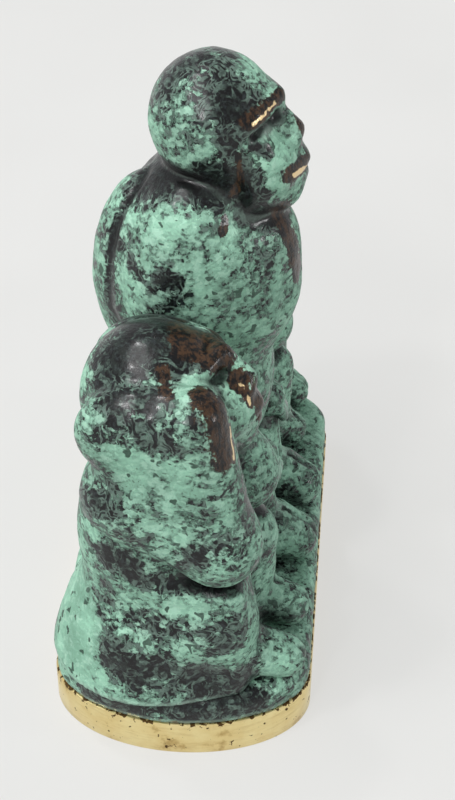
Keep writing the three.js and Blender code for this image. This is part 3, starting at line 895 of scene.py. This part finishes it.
class FIGURINE_OT_pad(bpy.types.Operator):
    """Cut the felt pad"""
    bl_idname = "figurine.pad"
    bl_label = "Felt pad"

    def execute(self, context):
        bow = context.scene.figurine_sizes.end_bow / MM - (PLATE_HIGH[0] - PAD_HIGH[0])
        soft_edge = [(0.25, PAD_LOW[2]), (0.05, 0.2), (0, 0.5)]
        levels = soft_edge + [(0, PAD_HIGH[2])]
        points, faces = bowed_slab(levels, PAD_HIGH[0], PAD_HIGH[1], bow, around=160)
        new_piece("wool_pad", points, faces, material_of(wool_felt), "felt", "felt_pad")
        return {"FINISHED"}


class FIGURINE_OT_fixings(bpy.types.Operator):
    """Set the screws, washers and dowels under the figures"""
    bl_idname = "figurine.fixings"
    bl_label = "Fixings"

    def execute(self, context):
        tree = row_tree()
        middles = [np.mean(cad_box("screw_" + name), axis=0) for name in FIGURES]
        spacing = Vector(middles[1] - middles[0]) * MM
        for kind in ("screw", "washer", "dowel"):
            settings = {"Count": len(FIGURES), "First": -spacing, "Spacing": spacing,
                        "Finish": material_of(zinc_plate)}
            mesh = merged_copy(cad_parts[kind + "_see"].data, kind + "s")
            piece = bpy.data.objects.new(kind + "s", mesh)
            context.scene.collection.objects.link(piece)
            modifier = piece.modifiers.new("row", "NODES")
            modifier.node_group = tree
            for socket in tree.interface.items_tree:
                if socket.name in settings:
                    modifier[socket.identifier] = settings[socket.name]
            evaluated = piece.evaluated_get(context.evaluated_depsgraph_get())
            row = bpy.data.meshes.new_from_object(evaluated)
            piece.modifiers.clear()
            piece.data = row
            claim(piece, "fixing_steel", *[f"{kind}_{name}" for name in FIGURES])
        return {"FINISHED"}


# Lamps: place in metres, direction of the long side, length and width in metres, and power in watts
LAMPS = (
    ("window", (-0.46, 0.43, 1.02), (1.0, 0.05, 0.37), 1.5, 0.5, 7.6),
    ("near lamp", (-0.97, 0.32, 0.68), (0.6, 0.0, 0.8), 0.12, 0.08, 2.2),
    ("middle lamp", (-0.40, 0.53, 0.92), (1.0, 0.0, 0.4), 0.12, 0.08, 2.2),
    ("far lamp", (0.22, 0.38, 1.14), (1.0, 0.0, 0.0), 0.12, 0.08, 2.2),
    ("doorway", (-0.13, -1.0, 0.33), (1.0, 0.0, 0.0), 0.14, 0.1, 1.6),
)


class FIGURINE_OT_stage(bpy.types.Operator):
    """Lay the floor and set the lamps and the camera"""
    bl_idname = "figurine.stage"
    bl_label = "Stage"

    def execute(self, context):
        scene = context.scene
        scene.view_settings.view_transform = "Standard"
        self.lay_floor(scene)
        self.set_light(scene)
        self.set_camera(scene)
        return {"FINISHED"}

    def lay_floor(self, scene):
        """Wide sheet of pale paper, seen partly as an even glow, which softens the shadow on it."""
        colours = scene.figurine_colours
        mesh = bpy.data.meshes.new("floor")
        half, glow = 12.0, 0.78
        corners = [(-half, -half, 0), (half, -half, 0), (half, half, 0), (-half, half, 0)]
        mesh.from_pydata(corners, [], [(0, 1, 2, 3)])
        material, put, place = new_material("paper")
        grain = put("ShaderNodeTexNoise", {"Vector": place, "Scale": per_metre(60), "Detail": 2.0})
        paper = put("ShaderNodeMix", {"Factor": grain, "A": colours.floor, "B": colours.floor_grain},
                    data_type="RGBA")
        lit = put("ShaderNodeMix", {"Factor": 1 - glow, "A": (0, 0, 0, 1), "B": paper}, data_type="RGBA")
        ray = put("ShaderNodeLightPath").outputs
        seen = ray["Is Camera Ray"]
        for name in ("Is Glossy Ray", "Is Transmission Ray"):
            seen = put("ShaderNodeMath", {0: seen, 1: ray[name]}, operation="MAXIMUM")
        base = put("ShaderNodeMix", {"Factor": seen, "A": colours.floor_bounce, "B": lit}, data_type="RGBA")
        strength = put("ShaderNodeMath", {0: seen, 1: glow}, operation="MULTIPLY")
        shader = put("ShaderNodeBsdfPrincipled", {
            "Base Color": base, "Roughness": 0.9, "Emission Color": paper, "Emission Strength": strength})
        put("ShaderNodeOutputMaterial", {"Surface": shader})
        mesh.materials.append(material)
        floor = bpy.data.objects.new("floor", mesh)
        scene.collection.objects.link(floor)

    def set_light(self, scene):
        """Pale room, brightest along the horizon, with a wide window above it and four small lamps."""
        world = bpy.data.worlds.new("room")
        scene.world = world
        world.use_nodes = True
        world.node_tree.nodes.clear()
        put = functools.partial(node, world.node_tree)
        toward = put("ShaderNodeTexCoord").outputs["Generated"]
        way = put("ShaderNodeSeparateXYZ", {"Vector": toward}).outputs
        walls = put("ShaderNodeMapRange", {
            "Value": way["Y"], "From Min": -1.0, "To Min": 0.44, "To Max": 0.62})
        horizon = put("ShaderNodeMapRange", {
            "Value": way["Z"], "From Min": 0.08, "From Max": 0.2, "To Min": 1.0, "To Max": 0.0})
        strength = put("ShaderNodeMix", {"Factor": horizon, "A": walls, "B": 0.9})
        room = put("ShaderNodeBackground", {"Color": scene.figurine_colours.room, "Strength": strength})
        put("ShaderNodeOutputWorld", {"Surface": room})
        aim = Vector((0, 0, 0.04))
        for name, place, along, length, width, power in LAMPS:
            back = (Vector(place) - aim).normalized()
            across = back.cross(Vector(along)).normalized()
            lamp = bpy.data.lights.new(name, "AREA")
            lamp.shape = "RECTANGLE"
            lamp.size = length
            lamp.size_y = width
            lamp.energy = power
            placed = bpy.data.objects.new(name, lamp)
            placed.location = place
            placed.rotation_mode = "QUATERNION"
            turn = Matrix((across.cross(back), across, back)).transposed()
            placed.rotation_quaternion = turn.to_quaternion()
            scene.collection.objects.link(placed)

    def set_camera(self, scene):
        """Raised camera at one end of the row, a little in front of the figures."""
        camera = bpy.data.cameras.new("camera")
        camera.sensor_width = 36
        camera.lens = 74.25
        placed = bpy.data.objects.new("camera", camera)
        placed.location = Vector((-181.5, -19.6, 171.4)) * MM
        yaw, pitch = math.radians(4.97), math.radians(37.5)
        level = math.cos(pitch)
        ahead = Vector((math.cos(yaw) * level, math.sin(yaw) * level, -math.sin(pitch)))
        placed.rotation_mode = "QUATERNION"
        placed.rotation_quaternion = ahead.to_track_quat("-Z", "Y")
        scene.collection.objects.link(placed)
        scene.camera = placed


OPERATORS = (FIGURINE_OT_figures, FIGURINE_OT_plinth, FIGURINE_OT_foot, FIGURINE_OT_pad,
             FIGURINE_OT_fixings, FIGURINE_OT_stage)


class FIGURINE_PT_panel(bpy.types.Panel):
    """Lists the figurine's pieces and settings"""
    bl_idname = "FIGURINE_PT_panel"
    bl_label = "Figurine"
    bl_space_type = "VIEW_3D"
    bl_region_type = "UI"
    bl_category = "Figurine"

    def draw(self, context):
        for settings in (context.scene.figurine_sizes, context.scene.figurine_colours):
            column = self.layout.column()
            for name in settings.__annotations__:
                column.prop(settings, name)
        for operator in OPERATORS:
            self.layout.operator(operator.bl_idname)


CLASSES = (FigurineSizes, FigurineColours, *OPERATORS, FIGURINE_PT_panel)


def register():
    for each in CLASSES:
        bpy.utils.register_class(each)
    bpy.types.Scene.figurine_sizes = bpy.props.PointerProperty(type=FigurineSizes)
    bpy.types.Scene.figurine_colours = bpy.props.PointerProperty(type=FigurineColours)


def unregister():
    del bpy.types.Scene.figurine_colours
    del bpy.types.Scene.figurine_sizes
    for each in reversed(CLASSES):
        bpy.utils.unregister_class(each)


def main():
    register()
    bpy.ops.figurine.figures()
    bpy.ops.figurine.plinth()
    bpy.ops.figurine.foot()
    bpy.ops.figurine.pad()
    bpy.ops.figurine.fixings()
    bpy.ops.figurine.stage()


if __name__ == "__main__":
    main()
